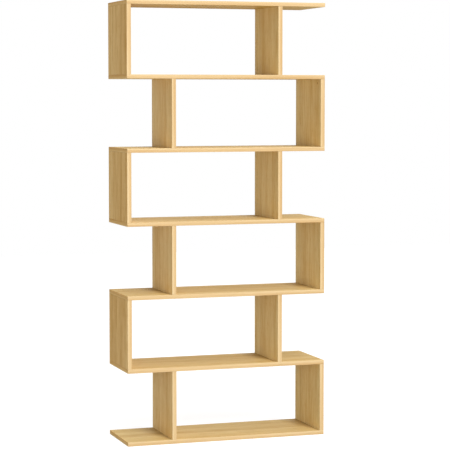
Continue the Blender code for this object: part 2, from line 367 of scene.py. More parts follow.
def carried_patch(ends, outward, profile, ease, start, material=0):
    """A profile carried from one point to another, with both ends closed.

    Point = place on the line + outward times out + across times the profile's width. Near the ends, out
    is limited to a quarter circle with radius ease. The grain runs along the line, and across it along
    the profile's outline.
    """
    first, last = (np.asarray(point, float) for point in ends)
    length = np.linalg.norm(last - first)
    ahead = (last - first) / length
    outward = np.asarray(outward, float)
    across = np.cross(ahead, outward)
    turn = np.linspace(0, math.pi / 2, CORNER_POINTS)
    near = np.append(ease * (1 - np.cos(turn)), 1.5 * ease)
    along = np.concatenate([near, length - near[::-1]])
    limit = np.append(profile[:, 0].max() - ease * (1 - np.sin(turn)), profile[:, 0].max())
    limit = np.concatenate([limit, limit[::-1]])
    out = np.minimum(profile[None, :, 0], limit[:, None])
    side = np.broadcast_to(profile[None, :, 1], out.shape)
    middle = np.broadcast_to(profile[:-1].mean(axis=0)[:, None, None], (2, 1, out.shape[1]))
    out = np.concatenate([middle[0], out, middle[0]])
    side = np.concatenate([middle[1], side, middle[1]])
    along = np.concatenate([along[:1], along, along[-1:]])
    points = first + along[:, None, None] * ahead + out[..., None] * outward + side[..., None] * across
    outline = np.concatenate([[0.0], np.cumsum(np.linalg.norm(np.diff(profile, axis=0), axis=1))])
    grain = np.stack(np.broadcast_arrays(along[:, None] + start, outline[None, :]), axis=-1)
    return patch(points, grain, material)


def cut_mesh(name, patches, cuts, materials):
    """Mesh of a closed body that one group of cutters after the other is taken out of.

    The body and each group are lists of patches. The cutters of one group don't meet each other.
    """
    body, *tools = (
        bpy.data.objects.new(f"{name} {i}", surface_mesh(f"{name} {i}", part, materials))
        for i, part in enumerate((patches, *cuts)))
    for tool in tools:
        boolean = body.modifiers.new(tool.name, "BOOLEAN")
        boolean.operation = "DIFFERENCE"
        boolean.solver = "EXACT"
        boolean.object = tool
    for made in (body, *tools):
        bpy.context.scene.collection.objects.link(made)
    result = bpy.data.meshes.new_from_object(body.evaluated_get(bpy.context.evaluated_depsgraph_get()))
    for made in (body, *tools):
        bpy.data.objects.remove(made)
    clean = bmesh.new()
    clean.from_mesh(result)
    bmesh.ops.remove_doubles(clean, verts=clean.verts, dist=MERGE_DISTANCE)
    bmesh.ops.dissolve_degenerate(clean, edges=clean.edges, dist=MERGE_DISTANCE)
    clean.to_mesh(result)
    clean.free()
    if not result.polygons:
        raise RuntimeError(f"nothing is left of {name} after the cuts")
    result.name = name
    result.set_sharp_from_angle(angle=SHARP_FROM)
    return result


def add_piece(name, mesh, slot, *nodes):
    """New object of a finished mesh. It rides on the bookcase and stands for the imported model's nodes."""
    old = bpy.data.objects.get(name)
    if old:
        bpy.data.objects.remove(old)
    piece = bpy.data.objects.new(name, mesh)
    bpy.context.scene.collection.objects.link(piece)
    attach(piece, BODY)
    if nodes:
        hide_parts(*nodes)
    return piece


def node_corners(node):
    """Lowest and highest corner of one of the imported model's nodes, as arrays."""
    low, high = node_boxes[node]
    return low.copy(), high.copy()


def shelf_nodes():
    """Names of the shelves' nodes, from the top down."""
    names = [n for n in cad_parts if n.startswith("shelf_") or n in ("top_shelf", "base_shelf")]
    return sorted(names, key=lambda n: -node_corners(n)[1][2])


def upright_nodes():
    """Names of the uprights' nodes."""
    return sorted(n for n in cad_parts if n.startswith("upright_"))


def upright_board(node):
    """Corners of an upright's board without its dowels: its ends are the shelves' faces less the gap."""
    low, high = node_corners(node)
    shelves = shelf_nodes()
    tier = int(node.split("_")[1])
    low[2] = node_corners(shelves[tier])[1][2] + JOINT_GAP
    high[2] = node_corners(shelves[tier - 1])[0][2] - JOINT_GAP
    return low, high


def fitting_places():
    """The cam fittings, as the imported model's boxes give them.

    For each: its node, the middle of the nut, the direction to the shelf that holds its bolt, the nut's
    radius and half its depth, how far along X the bolt lies from the nut's middle, how far the bolt's tip
    lies from the nut's axis, and how much of the bolt is thread in the shelf.
    """
    made = []
    for node in sorted(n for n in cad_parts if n.startswith("cam_fitting_")):
        low, high = node_corners(node)
        radius = (high[1] - low[1]) / 2
        down = node.endswith("lower")
        level = high[2] - radius if down else low[2] + radius
        middle = np.array([(low[0] + high[0]) / 2, (low[1] + high[1]) / 2, level])
        board_low, board_high = upright_board(node.replace("cam_fitting", "upright").rsplit("_", 1)[0])
        tip = level - low[2] if down else high[2] - level
        end = level - board_low[2] if down else board_high[2] - level
        made.append({
            "node": node,
            "middle": middle,
            "towards": np.array([0.0, 0.0, -1.0 if down else 1.0]),
            "radius": radius,
            "half_depth": (high[0] - low[0]) / 2,
            "bolt_side": (board_low[0] + board_high[0]) / 2 - middle[0],
            "tip": tip,
            "thread": tip - end - JOINT_GAP,
        })
    return made


def add_node(tree, kind, sockets, **settings):
    """Adds a shader node to a tree. A socket is linked if its value is a node or an output, and else set.

    A node given for a socket stands for the first of its outputs that is in use.
    """
    node = tree.nodes.new("ShaderNode" + kind)
    for name, value in settings.items():
        setattr(node, name, value)
    for name, value in sockets.items():
        if isinstance(value, bpy.types.Node):
            value = next(output for output in value.outputs if output.enabled)
        if isinstance(value, bpy.types.NodeSocket):
            tree.links.new(value, node.inputs[name])
        else:
            node.inputs[name].default_value = value
    return node


def get_material(name, build, *values):
    """The material with a name. If there is none yet, it is made of the shader that a function builds.

    The function is given another that adds a node to the material's own tree.
    """
    material = bpy.data.materials.get(name)
    if not material:
        material = bpy.data.materials.new(name)
        material.use_nodes = True
        material.node_tree.nodes.clear()
        add = partial(add_node, material.node_tree)
        add("OutputMaterial", {"Surface": build(add, *values)})
    return material


def oak_veneer(add, light, dark, oak):
    """Crown-cut oak veneer, sliced, book-matched, sanded and satin lacquered.

    A slice through the log's cone shaped growth rings shows arches in the middle of each leaf and
    straight grain beside them. The early wood of each ring is darker and has open pores, which show as
    short dashes. Broad bands of tone run through several leaves. The lacquer leaves a dull sheen.
    """
    uv = add("UVMap", {}, uv_map=GRAIN_MAP)
    place = add("SeparateXYZ", {0: uv})
    along, across = place.outputs[0], place.outputs[1]
    noises = {}
    for name, (spot_length, spot_width, detail, roughness) in FIGURE.items():
        stretched = add("Mapping", {"Vector": uv, "Scale": (1 / spot_length, 1 / spot_width, 1)})
        noises[name] = add("TexNoise",
                           {"Vector": stretched, "Scale": 1, "Detail": detail, "Roughness": roughness},
                           noise_dimensions="2D")

    # Leaves of veneer: a number for each, and the place across it, mirrored from leaf to leaf
    leaf = add("Math", {0: across, 1: oak.leaf_width}, operation="DIVIDE")
    leaf = add("Math", {0: leaf}, operation="FLOOR")
    leaf_tone = add("TexWhiteNoise", {"W": leaf}, noise_dimensions="1D")
    matched = add("Math", {0: across, 1: oak.leaf_width}, operation="PINGPONG")

    # The log isn't straight: the grain wanders by up to 12 mm to either side
    off_pith = add("Math", {0: matched, 1: 0.45 * oak.leaf_width + 0.012}, operation="SUBTRACT")
    off_pith = add("Math", {0: noises["wander"], 1: 0.024, 2: off_pith}, operation="MULTIPLY_ADD")

    # Rings: distance to the pith, which lies 35 mm behind the slice and comes 22 mm nearer per metre
    from_pith = add("CombineXYZ", {0: off_pith, 1: 0.035})
    from_pith = add("VectorMath", {0: from_pith}, operation="LENGTH")
    depth = add("Math", {0: along, 1: 0.022, 2: from_pith}, operation="MULTIPLY_ADD")
    rings = add("Math", {0: depth, 1: 1 / oak.ring_spacing}, operation="MULTIPLY")
    rings = add("Math", {0: noises["wander"], 1: 1.6, 2: rings}, operation="MULTIPLY_ADD")
    rings = add("Math", {0: rings}, operation="FRACT")

    # Early wood starts at once where a ring starts and fades out over its first half
    early = add("ValToRGB", {0: rings})
    ramp = early.color_ramp
    ramp.interpolation = "EASE"
    ramp.elements[0].color = (1, 1, 1, 1)
    ramp.elements[1].position = 0.55
    ramp.elements[1].color = (0, 0, 0, 1)
    ramp.elements.new(0.94).color = (0, 0, 0, 1)
    ramp.elements.new(1.0).color = (1, 1, 1, 1)

    # Open pores stand close together in early wood, and redder flecks lie where there are many
    pores = add("MapRange", {"Value": noises["pores"], "From Min": 0.56, "From Max": 0.72},
                interpolation_type="SMOOTHSTEP")
    open_share = add("Math", {0: early, 1: 0.7, 2: 0.3}, operation="MULTIPLY_ADD")
    open_pores = add("Math", {0: pores, 1: open_share}, operation="MULTIPLY")
    flecks = add("MapRange", {"Value": noises["flecks"], "From Min": 0.58, "From Max": 0.74},
                 interpolation_type="SMOOTHSTEP")
    flecks = add("Math", {0: flecks, 1: 0.8}, operation="MULTIPLY")

    # Share of the dark colour: all of these together
    dark_share = add("Math", {0: early, 1: 0.16, 2: -1.02}, operation="MULTIPLY_ADD")
    for part, weight in ((noises["streaks"], 0.65), (noises["bands"], 1.05), (leaf_tone, 0.30),
                         (open_pores, 0.30), (noises["patches"], 0.75)):
        dark_share = add("Math", {0: part, 1: weight, 2: dark_share}, operation="MULTIPLY_ADD")
    wood = add("Mix", {"Factor": dark_share, "A": light, "B": dark}, data_type="RGBA")
    wood = add("Mix", {"Factor": flecks, "A": wood, "B": linear("F0DDC8")},
               data_type="RGBA", blend_type="MULTIPLY")

    # One pin knot 9 mm wide, in the upright at the right of the second tier
    place = add("TexCoord", {}).outputs["Object"]
    knot = add("VectorMath", {0: place, 1: PIN_KNOT}, operation="DISTANCE")
    knot = add("MapRange", {"Value": knot, "From Min": 0.0055, "From Max": 0.0035},
               interpolation_type="SMOOTHSTEP")
    wood = add("Mix", {"Factor": knot, "A": wood, "B": linear("B48C55")}, data_type="RGBA")

    # Lacquer: rougher where the wood is open, and hollow over the pores
    rough = add("MapRange", {"Value": dark_share, "To Min": 0.50, "To Max": 0.66})
    relief = add("Math", {0: open_pores, 1: -1.0, 2: noises["streaks"]}, operation="MULTIPLY_ADD")
    bump = add("Bump", {"Height": relief, "Strength": 0.25, "Distance": 0.0002})
    return add("BsdfPrincipled",
               {"Base Color": wood, "Roughness": rough, "Normal": bump, "Specular IOR Level": 0.08})


def oak_band(add, light, dark):
    """Straight-grained oak strip, glued on the edge, trimmed and sanded with the faces.

    It shows long parallel streaks, cream and honey coloured, with fine dark pores between them. Each
    strip is paler towards one arris and darker towards the other: the paler side is a painted highlight,
    which lies along the left arris of an upright's front.
    """
    uv = add("UVMap", {}, uv_map=GRAIN_MAP)

    # Streaks 7 mm wide that run for half a metre, and fine ones of 1.2 mm
    broad = add("Mapping", {"Vector": uv, "Scale": (1 / 0.500, 1 / 0.007, 1)})
    broad = add("TexNoise", {"Vector": broad, "Scale": 1, "Detail": 1}, noise_dimensions="2D")
    fine = add("Mapping", {"Vector": uv, "Scale": (1 / 0.060, 1 / 0.0012, 1)})
    fine = add("TexNoise", {"Vector": fine, "Scale": 1, "Detail": 2}, noise_dimensions="2D")
    across = add("SeparateXYZ", {0: uv}).outputs[1]
    # Painted highlight: paler towards one arris, the left one on an upright's front, and darker towards the
    # other
    painted_arris_highlight = add("MapRange",
                  {"Value": across, "From Min": 0.003, "From Max": 0.017, "To Min": 0.3, "To Max": -0.3},
                  interpolation_type="SMOOTHSTEP")

    # Share of the dark colour
    dark_share = add("Math", {0: broad, 1: 1.2, 2: painted_arris_highlight}, operation="MULTIPLY_ADD")
    dark_share = add("Math", {0: dark_share, 1: -0.5}, operation="ADD")
    dark_share = add("Math", {0: fine, 1: 0.7, 2: dark_share}, operation="MULTIPLY_ADD")
    wood = add("Mix", {"Factor": dark_share, "A": light, "B": dark}, data_type="RGBA")
    bump = add("Bump", {"Height": fine, "Strength": 0.2, "Distance": 0.0002})
    return add("BsdfPrincipled",
               {"Base Color": wood, "Roughness": 0.55, "Normal": bump, "Specular IOR Level": 0.08})


def particle_board(add):
    """Pressed particle board, as sawn or drilled: pale brown chips of 1 to 3 mm in darker resin."""
    place = add("TexCoord", {}).outputs["Object"]
    chips = add("TexVoronoi", {"Vector": place, "Scale": 1 / 0.002}).outputs["Color"]
    dust = add("TexNoise", {"Vector": place, "Scale": 1 / 0.0008, "Detail": 3})
    pale_share = add("Math", {0: chips, 1: 0.6, 2: 0.0}, operation="MULTIPLY_ADD")
    pale_share = add("Math", {0: dust, 1: 0.5, 2: pale_share}, operation="MULTIPLY_ADD")
    board = add("Mix", {"Factor": pale_share, "A": linear("9A7447"), "B": linear("C9A573")},
                data_type="RGBA")
    bump = add("Bump", {"Height": pale_share, "Strength": 0.5, "Distance": 0.0003})
    return add("BsdfPrincipled", {"Base Color": board, "Roughness": 0.9, "Normal": bump})


def die_cast_zinc(add):
    """Zinc alloy, die cast and tumbled: dull blue grey metal with a fine, uneven skin.

    The skin's grain is 0.7 mm, in clouds of 4 mm.
    """
    place = add("TexCoord", {}).outputs["Object"]
    skin = add("TexNoise", {"Vector": place, "Scale": 1 / 0.0007, "Detail": 4})
    cloud = add("TexNoise", {"Vector": place, "Scale": 1 / 0.004, "Detail": 2})
    metal = add("Mix", {"Factor": cloud, "A": linear("9DA0A3"), "B": linear("C2C4C6")}, data_type="RGBA")
    rough = add("MapRange", {"Value": skin, "To Min": 0.32, "To Max": 0.55})
    bump = add("Bump", {"Height": skin, "Strength": 0.3, "Distance": 0.0001})
    return add("BsdfPrincipled", {"Base Color": metal, "Metallic": 1.0, "Roughness": rough, "Normal": bump})


def plated_steel(add):
    """Turned and rolled steel, bright zinc plated: silvery with rings from the tool, 0.3 mm apart."""
    uv = add("UVMap", {}, uv_map=GRAIN_MAP)
    marks = add("Mapping", {"Vector": uv, "Scale": (1 / 0.0003, 1 / 0.02, 1)})
    marks = add("TexNoise", {"Vector": marks, "Scale": 1, "Detail": 2}, noise_dimensions="2D")
    metal = add("Mix", {"Factor": marks, "A": linear("BFC0BE"), "B": linear("DAD9D4")}, data_type="RGBA")
    rough = add("MapRange", {"Value": marks, "To Min": 0.18, "To Max": 0.38})
    return add("BsdfPrincipled", {"Base Color": metal, "Metallic": 1.0, "Roughness": rough})


def beech(add):
    """Turned and fluted beech, untreated: pale pinkish wood with fine straight grain and short flecks.

    The grain is 1.2 mm wide and 30 mm long, and a fleck is 0.5 mm by 3 mm.
    """
    uv = add("UVMap", {}, uv_map=GRAIN_MAP)
    grain = add("Mapping", {"Vector": uv, "Scale": (1 / 0.030, 1 / 0.0012, 1)})
    grain = add("TexNoise", {"Vector": grain, "Scale": 1, "Detail": 3}, noise_dimensions="2D")
    flecks = add("Mapping", {"Vector": uv, "Scale": (1 / 0.003, 1 / 0.0005, 1)})
    flecks = add("TexNoise", {"Vector": flecks, "Scale": 1}, noise_dimensions="2D")
    dark_share = add("Math", {0: flecks, 1: 0.5, 2: 0.0}, operation="MULTIPLY_ADD")
    dark_share = add("Math", {0: grain, 1: 0.5, 2: dark_share}, operation="MULTIPLY_ADD")
    wood = add("Mix", {"Factor": dark_share, "A": linear("E3C49C"), "B": linear("C79A6C")},
               data_type="RGBA")
    bump = add("Bump", {"Height": grain, "Strength": 0.3, "Distance": 0.0002})
    return add("BsdfPrincipled", {"Base Color": wood, "Roughness": 0.7, "Normal": bump})


def grain_starts(node, bands=0):
    """Random places where the grain starts on a board's six faces, or on so many bands of it.

    One draw holds a place along and one across the grain for each face and then for each band. A band
    takes only the place along it.
    """
    seed = CUTS[node][1 if bands else 0]
    random = np.random.default_rng([seed, sorted(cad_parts).index(node)])
    starts = random.uniform(0, GRAIN_SPREAD, (6 + bands, 2))
    return starts[6:, 0] if bands else starts


def drilled(centre, along, diameter, depth):
    """Cutter of a blind hole: a cylinder that starts outside the board and ends at the hole's floor."""
    heights = np.array([-CUTTER_OVERRUN, -CUTTER_OVERRUN, depth, depth])
    radii = np.array([0, diameter / 2, diameter / 2, 0])
    return turned_patch(centre, along, radii, heights, material=PARTICLES)


def dowel_rows(low, high, inset):
    """Places from front to back of the two dowels in a joint."""
    return low[1] + inset, high[1] - inset


def joints_of_shelf(shelf):
    """The places along X, and the face's level and direction, of the uprights that meet a shelf."""
    low, high = node_corners(shelf)
    found = []
    for node in upright_nodes():
        board_low, board_high = upright_board(node)
        x = (board_low[0] + board_high[0]) / 2
        if abs(board_low[2] - JOINT_GAP - high[2]) < JOINT_GAP:
            found.append((x, high[2], -1.0))
        if abs(board_high[2] + JOINT_GAP - low[2]) < JOINT_GAP:
            found.append((x, low[2], 1.0))
    return found


def fitting_depths():
    """How deep a bolt and a dowel reach into a shelf."""
    node = upright_nodes()[0]
    peg = upright_board(node)[0][2] - JOINT_GAP - node_corners(node)[0][2]
    return fitting_places()[0]["thread"], peg


class BOOKCASE_OT_shelves(Operator):
    """Make the shelves' veneered boards, with blind holes for the bolts and dowels of their joints"""

    bl_idname = "bookcase.shelves"
    bl_label = "Shelves"

    def execute(self, context):
        boards, fittings = context.scene.bookcase_boards, context.scene.bookcase_fittings
        oak = context.scene.bookcase_oak
        materials = [
            get_material("oak veneer, shelf", oak_veneer, oak.shelf_light, oak.shelf_dark, oak),
            get_material("particle board", particle_board),
            # Painted light: the undersides take the paler, warmer copy of the veneer, against the shade
            # beneath them
            get_material("oak veneer, underside", oak_veneer, oak.under_light, oak.under_dark, oak),
        ]
        bolt_depth, peg_depth = fitting_depths()
        bolt_hole = fittings.bolt_thread + 2 * JOINT_GAP
        peg_hole = fittings.dowel_diameter + 2 * JOINT_GAP
        band = np.array([boards.band_thickness, boards.band_thickness, 0])
        faces = (PARTICLES, PARTICLES, PARTICLES, PARTICLES, UNDERSIDE, VENEER)
        for node in shelf_nodes():
            low, high = node_corners(node)
            core = box_patches(low + band, high - band, 0, grain_starts(node), faces)
            holes = []
            for x, level, into in joints_of_shelf(node):
                along, middle = (0.0, 0.0, into), (low[1] + high[1]) / 2
                holes.append(drilled((x, middle, level), along, bolt_hole, bolt_depth + HOLE_SPARE))
                for y in dowel_rows(low, high, fittings.dowel_inset):
                    holes.append(drilled((x, y, level), along, peg_hole, peg_depth + HOLE_SPARE))
            add_piece(node + "_board", cut_mesh(node, core, [holes], materials), "oak_shelf", node)
        return {"FINISHED"}


class BOOKCASE_OT_uprights(Operator):
    """Make the uprights' veneered boards, with their cam nuts' pockets, their bolts' bores and dowel holes"""

    bl_idname = "bookcase.uprights"
    bl_label = "Uprights"

    def execute(self, context):
        boards, fittings = context.scene.bookcase_boards, context.scene.bookcase_fittings
        oak = context.scene.bookcase_oak
        board = get_material("particle board", particle_board)
        # Painted light: every upright takes a paler copy of the veneer, against the shade on its sides
        usual = ("upright", oak.upright_light, oak.upright_dark)
        # Painted light: the uprights at the left end and the inner ones on the left take warmer copies of the
        # veneer, in place of warmer light on them
        light_painted = {
            "outer_left": ("left end", oak.left_light, oak.left_dark),
            "inner_left": ("inner left", oak.inner_left_light, oak.inner_left_dark),
        }
        peg_hole = fittings.dowel_length - fitting_depths()[1] + HOLE_SPARE
        band = np.array([0, boards.band_thickness, 0])
        faces = (VENEER, VENEER, PARTICLES, PARTICLES, PARTICLES, PARTICLES)
        for node in upright_nodes():
            tone, light, dark = light_painted.get(node.split("_", 2)[2], usual)
            materials = [get_material(f"oak veneer, {tone}", oak_veneer, light, dark, oak), board]
            low, high = upright_board(node)
            core = box_patches(low + band, high - band, 2, grain_starts(node), faces)
            x = (low[0] + high[0]) / 2
            pockets, bores = [], []
            for fitting in fitting_places():
                if not fitting["node"].startswith(node.replace("upright", "cam_fitting")):
                    continue
                middle, into = fitting["middle"], -fitting["towards"]
                floor = 2 * fitting["half_depth"] + 2 * JOINT_GAP
                mouth = (high[0], middle[1], middle[2])
                pockets.append(drilled(mouth, (-1.0, 0.0, 0.0), fittings.cam_pocket, floor))
                end = low[2] if into[2] > 0 else high[2]
                bores.append(drilled((x, middle[1], end), into, fittings.bolt_bore, abs(end - middle[2])))
                for y in dowel_rows(low, high, fittings.dowel_inset):
                    bores.append(drilled((x, y, end), into, fittings.dowel_diameter, peg_hole))
            mesh = cut_mesh(node, core, [pockets, bores], materials)
            add_piece(node + "_board", mesh, "oak_upright", node)
        return {"FINISHED"}


class BOOKCASE_OT_edge_bands(Operator):
    """Make the oak bands: four strips round each shelf, and a front and a back strip on each upright"""

    bl_idname = "bookcase.edge_bands"
    bl_label = "Edge bands"

    def execute(self, context):
        boards, oak = context.scene.bookcase_boards, context.scene.bookcase_oak
        thickness, radius = boards.band_thickness, boards.arris_radius
        # Painted light: the shelves' ends take a paler, warmer copy of the band, against the shade on them
        materials = [get_material("oak edge band", oak_band, oak.band_light, oak.band_dark),
                     get_material("oak end band", oak_band, oak.end_light, oak.end_dark)]
        for node in shelf_nodes():
            low, high = node_corners(node)
            z = (low[2] + high[2]) / 2
            profile = band_profile(thickness, high[2] - low[2], radius)
            front, back = low[1] + thickness, high[1] - thickness
            left, right = low[0] + thickness, high[0] - thickness
            runs = (
                ((low[0], front), (high[0], front), (0, -1, 0), radius, 0),
                ((low[0], back), (high[0], back), (0, 1, 0), radius, 0),
                ((left, front), (left, back), (-1, 0, 0), 0, 1),
                ((right, front), (right, back), (1, 0, 0), 0, 1),
            )
            strips = [carried_patch([(*first, z), (*last, z)], out, profile, ease, start, material)
                      for (first, last, out, ease, material), start in zip(runs, grain_starts(node, 4))]
            add_piece(node + "_edge_bands", surface_mesh(node + " bands", strips, materials), "oak_shelf")
        for node in upright_nodes():
            low, high = upright_board(node)
            x = (low[0] + high[0]) / 2
            profile = band_profile(thickness, high[0] - low[0], radius)
            sides = ((low[1] + thickness, -1), (high[1] - thickness, 1))
            strips = [carried_patch([(x, y, low[2]), (x, y, high[2])], (0, out, 0), profile, 0, start)
                      for (y, out), start in zip(sides, grain_starts(node, 2))]
            mesh = surface_mesh(node + " bands", strips, materials[:1])
            add_piece(node + "_edge_bands", mesh, "oak_upright")
        return {"FINISHED"}


def fluted_dowel(tip, along, sizes):
    """Dowel, turned with chamfered ends: between them the radius falls in each flute.

    It falls by the square of half the sum of one and the cosine of the angle times the number of flutes.
    Each dowel's grain starts at a place of its own, which follows from where its tip is.
    """
    flute, chamfer, slack, grain_shift, points_of_flute = 0.0004, 0.0009, 0.00005, 7, 6
    radius, length = sizes.dowel_diameter / 2 - slack, sizes.dowel_length
    end = radius - 0.7 * chamfer
    heights = np.array([0, 0, chamfer, 2 * chamfer, length - 2 * chamfer, length - chamfer, length, length])
    smooth = np.array([0, end, radius, radius, radius, radius, end, 0])
    ribbed = np.array([0, 0, 0, 1, 1, 0, 0, 0])
    angle = np.linspace(0, 2 * math.pi, points_of_flute * sizes.dowel_flutes + 1)[:, None]
    groove = flute * ((1 + np.cos(angle * sizes.dowel_flutes)) / 2) ** 2
    radii = smooth[None, :] - groove * ribbed[None, :]
    return turned_patch(tip, along, radii, heights, start=grain_shift * np.array(tip[:2]))


class BOOKCASE_OT_dowels(Operator):
    """Make the fluted dowels, four to an upright"""

    bl_idname = "bookcase.dowels"
    bl_label = "Dowels"

    def execute(self, context):
        fittings = context.scene.bookcase_fittings
        peg_depth = fitting_depths()[1]
        materials = [get_material("beech", beech)]
        for node in upright_nodes():
            low, high = upright_board(node)
            dowels = []
            for end, into in ((low[2] - JOINT_GAP, 1.0), (high[2] + JOINT_GAP, -1.0)):
                for y in dowel_rows(low, high, fittings.dowel_inset):
                    tip = ((low[0] + high[0]) / 2, y, end - into * peg_depth)
                    dowels.append(fluted_dowel(tip, (0.0, 0.0, into), fittings))
            add_piece(node + "_dowels", surface_mesh(node + " dowels", dowels, materials), "oak_upright")
        return {"FINISHED"}


def sector_patch(middle, mouth, towards, reach, half_width, span):
    """Cutter of a cam's track: a rectangle, as wide as the track, carried round the nut's axis.

    It turns from the mouth's side to the bolt's side. Reach is its radius at each angle, from the axis.
    """
    angle = np.linspace(*span, len(reach))[:, None]
    direction = np.cos(angle) * mouth + np.sin(angle) * towards
    out = np.asarray(reach)[:, None] * np.array([0, 1, 1, 0, 0])
    side = np.broadcast_to(half_width * np.array([-1, -1, 1, 1, -1]), out.shape)
    out, side = (np.concatenate([np.full((1, 5), ends[0, :4].mean()), ends,
                                 np.full((1, 5), ends[-1, :4].mean())]) for ends in (out, side))
    direction = np.concatenate([direction[:1], direction, direction[-1:]])
    points = middle + out[..., None] * direction[:, None] + side[..., None] * np.array([1.0, 0.0, 0.0])
    return patch(points, np.stack([out, side], axis=-1))


def lofted_patch(middle, outline, sections):
    """Cutter lofted between scaled copies of an outline, one for each height and scale of the sections.

    Point = middle + the height along X + the scale times the outline along Y and Z.
    """
    heights, scales = (np.array(row)[:, None] for row in zip(*sections))
    flat = scales[..., None] * outline[None]
    heights = np.broadcast_to(heights, flat.shape[:2])
    points = np.asarray(middle) + np.concatenate([heights[..., None], flat], axis=-1)
    return patch(points, flat)


def cross_outline(length, width):
    """Outline of the cross recess: each arm narrows to three quarters of its width at its end."""
    arm = np.array([(length / 2, -0.375 * width), (length / 2, 0.375 * width), (width / 2, width / 2)])
    quarters = [np.array([(math.cos(a), math.sin(a)), (-math.sin(a), math.cos(a))])
                for a in np.arange(4) * math.pi / 2]
    outline = np.concatenate([arm @ turn for turn in quarters])
    return np.concatenate([outline, outline[:1]])


def cam_nut_mesh(fitting, sizes, materials):
    """Cam nut about the X axis, its face at +X, its bolt below it and its mouth at +Y.

    The body is turned, with a rim round a dished face. Its track is a mouth for the bolt's head, a spiral
    room for the head that closes in as the nut turns, and a slot through the wall for the bolt's neck.
    """
    radius, half = fitting["radius"], fitting["half_depth"]
    bevel, thinner, rim, edge, land, dish = 0.0005, 0.0002, 0.0016, 0.0004, 0.0010, 0.0003

    # The outline from the back to the face, as heights and how far in from the radius
    heights, inwards = np.array([
        (-half, radius), (-half, bevel + thinner), (bevel - half, thinner), (half - rim - thinner, thinner),
        (half - rim, 0), (half - edge, 0), (half, edge), (half, land), (half - dish, land + dish),
        (half - dish, radius),
    ]).T
    body = turned_patch((0, 0, 0), (1, 0, 0), radius - inwards, heights)

    # The track, a little narrower than the round holes at its two ends
    axis = np.array([fitting["bolt_side"], 0.0, 0.0])
    mouth, towards = np.array([0.0, 1.0, 0.0]), np.array([0.0, 0.0, -1.0])
    head = sizes.bolt_head / 2 + JOINT_GAP
    neck = sizes.bolt_neck / 2 + JOINT_GAP
    narrower, back, beyond, steps = 0.98, -0.0010, radius + CUTTER_OVERRUN, 13
    hook = np.linspace(0.0036, HEAD_REACH, steps)
    round_to_bolt = (-0.05, math.radians(125))
    round_to_neck = (-0.02, math.pi / 2 + 0.03)
    opening = turned_patch(axis, mouth, [0, head, head, 0], [back, back, beyond, beyond])
    room = sector_patch(axis, mouth, towards, hook, narrower * head, round_to_bolt)
    slot = sector_patch(axis, mouth, towards, np.full(steps, beyond), narrower * neck, round_to_neck)
    neck_hole = turned_patch(axis, towards, [0, neck, neck, 0], [back, back, beyond, beyond])

    # The face: a cross recess with a flared edge, and an arrow mark beside it that points at the bolt
    face = half - dish
    outside, floor, lip = face + CUTTER_OVERRUN, face - sizes.recess_depth, face - 0.0002
    flare = [(outside, 0), (outside, 1.10), (face, 1.08), (lip, 1.0), (floor, 0.86), (floor, 0)]
    cross = lofted_patch((0, 0, 0), cross_outline(sizes.recess_length, sizes.recess_width), flare)
    mark_size, mark_place, mark_floor = 0.0005, (0, 0, -0.0053), face - 0.0003
    arrow = mark_size * np.array([(-1, 0.6), (0, -1), (1, 0.6), (-1, 0.6)])
    mark = lofted_patch(mark_place, arrow, [(outside, 0), (outside, 1), (mark_floor, 1), (mark_floor, 0)])
    return cut_mesh("cam nut", [body], [[opening], [room], [slot], [neck_hole], [cross, mark]], materials)


def cam_bolt_mesh(fitting, sizes, materials):
    """Cam bolt along Z, its head at the nut's axis at 0 and its thread below.

    One turned form, whose radius is a function of height and angle. In the thread it rises from the core
    by a sharp-crested wave of height over pitch less the angle's share of a turn.
    """
    thread_depth, run_in, bevel, chamfer, dome, below_nut = 0.0009, 0.002, 0.0003, 0.0004, 0.0014, 0.001
    steps_of_turn, points_round = 12, 33
    tip = -fitting["tip"]
    top = tip + fitting["thread"]
    outer, shank = sizes.bolt_thread / 2, sizes.bolt_shank / 2
    neck, head = sizes.bolt_neck / 2, sizes.bolt_head / 2
    core = outer - thread_depth
    shoulder = -fitting["radius"] - below_nut
    steps = int(steps_of_turn * fitting["thread"] / sizes.bolt_pitch)
    thread = np.linspace(tip + chamfer, top, steps)

    # The outline from the tip up, as heights and radii
    heights, plain = np.concatenate([
        [(tip, 0), (tip, core / 2)],
        np.stack([thread, np.full(steps, core)], axis=-1),
        [(top, shank - bevel), (top + bevel, shank)],
        [(shoulder - chamfer, shank), (shoulder, shank - chamfer), (shoulder, neck)],
        [(-HEAD_REACH, neck), (-HEAD_REACH, head - bevel), (bevel - HEAD_REACH, head)],
        [(HEAD_REACH - 3 * chamfer, head), (HEAD_REACH - chamfer, head - chamfer)],
        [(HEAD_REACH, head - dome), (HEAD_REACH, 0)],
    ]).T
    angle = np.linspace(0, 1, points_round)[:, None]
    wave = np.abs(2 * np.mod(heights[None, :] / sizes.bolt_pitch - angle, 1) - 1)
    crest = np.clip((wave - 0.4) / 0.5, 0, 1)
    threaded = np.zeros(len(heights))
    threaded[2:2 + steps] = np.clip((thread - tip) / run_in, 0, 1)
    radii = plain[None, :] + thread_depth * crest * threaded[None, :]
    form = turned_patch((0, 0, 0), (0, 0, 1), radii, heights)
    return surface_mesh("cam bolt", [form], materials, sharp_from=math.radians(40))


def add_fittings(part, mesh):
    """Adds a copy of the cam nut or bolt for each fitting, turned over about X where the bolt goes up."""
    for fitting in fitting_places():
        name = fitting["node"].replace("cam_fitting", part)
        aside = fitting["bolt_side"] if part == "cam_bolt" else 0.0
        turn = Matrix.Rotation(math.pi, 4, "X") if fitting["towards"][2] > 0 else Matrix.Identity(4)
        copy = mesh.copy()
        copy.name = name
        copy.transform(Matrix.Translation(fitting["middle"] + np.array([aside, 0.0, 0.0])) @ turn)
        add_piece(name, copy, "zinc_fitting", fitting["node"])


